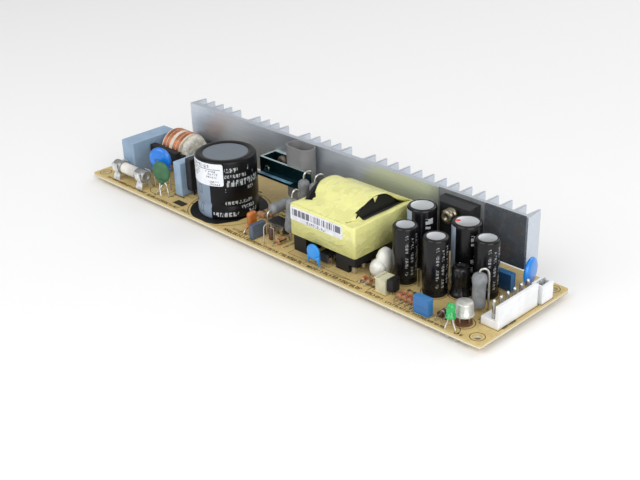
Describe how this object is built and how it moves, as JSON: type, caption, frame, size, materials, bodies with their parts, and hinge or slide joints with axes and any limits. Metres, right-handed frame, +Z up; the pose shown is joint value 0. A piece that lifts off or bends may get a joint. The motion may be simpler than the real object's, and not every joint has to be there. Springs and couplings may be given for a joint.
{
  "type": "open frame power supply",
  "caption": "Long narrow switching power supply on an open circuit board, with a finned heat sink along the back edge, pin headers at one end and corner mounting holes.",
  "frame": {"origin": "under the middle of the circuit board, at the height of the lowest solder joints", "axes": "+X along the board to the output end, +Y across the board to the heat sink, +Z up from the board"},
  "size_m": [0.2158, 0.0508, 0.0305],
  "materials": {
    "board_laminate": "satin",
    "solder_tin": "satin",
    "sink_aluminium": "satin",
    "tinned_metal": "satin",
    "fuse_ceramic": "satin",
    "case_grey_blue": "satin",
    "ferrite": "matte",
    "bobbin_cream": "matte",
    "copper_wire": "gloss",
    "adhesive_white": "satin",
    "coating_blue": "gloss",
    "coating_green": "matte",
    "coating_azure": "gloss",
    "film_blue": "satin",
    "film_pale_blue": "satin",
    "moulding_black": "matte",
    "sleeve_black": "gloss",
    "silicone_grey": "matte",
    "clamp_steel": "satin",
    "screw_steel": "satin",
    "coating_orange": "gloss",
    "case_slate": "matte",
    "resistor_grey": "matte",
    "resistor_tan": "matte",
    "diode_black": "gloss",
    "tape_yellow": "satin",
    "pad_black": "matte",
    "coupler_cream": "matte",
    "lamp_green": "gloss",
    "can_nickel": "satin",
    "spacer_brown": "matte",
    "header_nylon": "satin"
  },
  "bodies": {
    "root": {"circuit_board": "board_laminate", "solder_joints": "solder_tin", "heatsink": "sink_aluminium", "heatsink_pins": "tinned_metal", "fuse": "fuse_ceramic", "fuse_clips": "tinned_metal", "input_film_capacitor": "case_grey_blue", "line_choke_core": "ferrite", "line_choke_bobbin": "bobbin_cream", "line_choke_windings": "copper_wire", "line_choke_adhesive": "adhesive_white", "surge_varistor": "coating_blue", "inrush_thermistor": "coating_green", "line_film_capacitor": "film_pale_blue", "bridge_rectifier": "moulding_black", "bulk_capacitor": "sleeve_black", "switching_transistor": "moulding_black", "transistor_sleeve": "silicone_grey", "transistor_clamp": "clamp_steel", "clamp_screw": "screw_steel", "orange_film_capacitor": "coating_orange", "control_film_capacitor": "case_slate", "control_ic": "moulding_black", "snubber_resistor_1": "resistor_grey", "snubber_resistor_2": "resistor_grey", "snubber_resistor_3": "resistor_grey", "startup_resistor": "resistor_grey", "small_diodes": "diode_black", "axial_resistors": "resistor_tan", "transformer_core": "ferrite", "transformer_bobbin": "moulding_black", "transformer_winding": "tape_yellow", "transformer_tape": "tape_yellow", "transformer_pins": "tinned_metal", "safety_capacitor": "coating_azure", "feedback_optocoupler": "moulding_black", "adhesive_bead": "adhesive_white", "isolating_coupler": "coupler_cream", "shunt_regulator": "moulding_black", "output_capacitor_1": "sleeve_black", "output_capacitor_2": "sleeve_black", "output_capacitor_3": "sleeve_black", "output_capacitor_4": "sleeve_black", "output_capacitor_5": "sleeve_black", "output_choke": "sleeve_black", "load_resistor": "resistor_grey", "output_film_capacitor_front": "film_blue", "output_film_capacitor_rear": "film_blue", "indicator_led": "lamp_green", "metal_can_transistor": "can_nickel", "transistor_spacer": "spacer_brown", "output_header": "header_nylon", "auxiliary_header": "header_nylon", "header_pins": "tinned_metal", "rectifier_pad": "silicone_grey", "insulating_sheet": "pad_black", "output_rectifier": "moulding_black", "rectifier_screw": "screw_steel", "output_disc_capacitor": "coating_blue"}
  },
  "joints": []
}
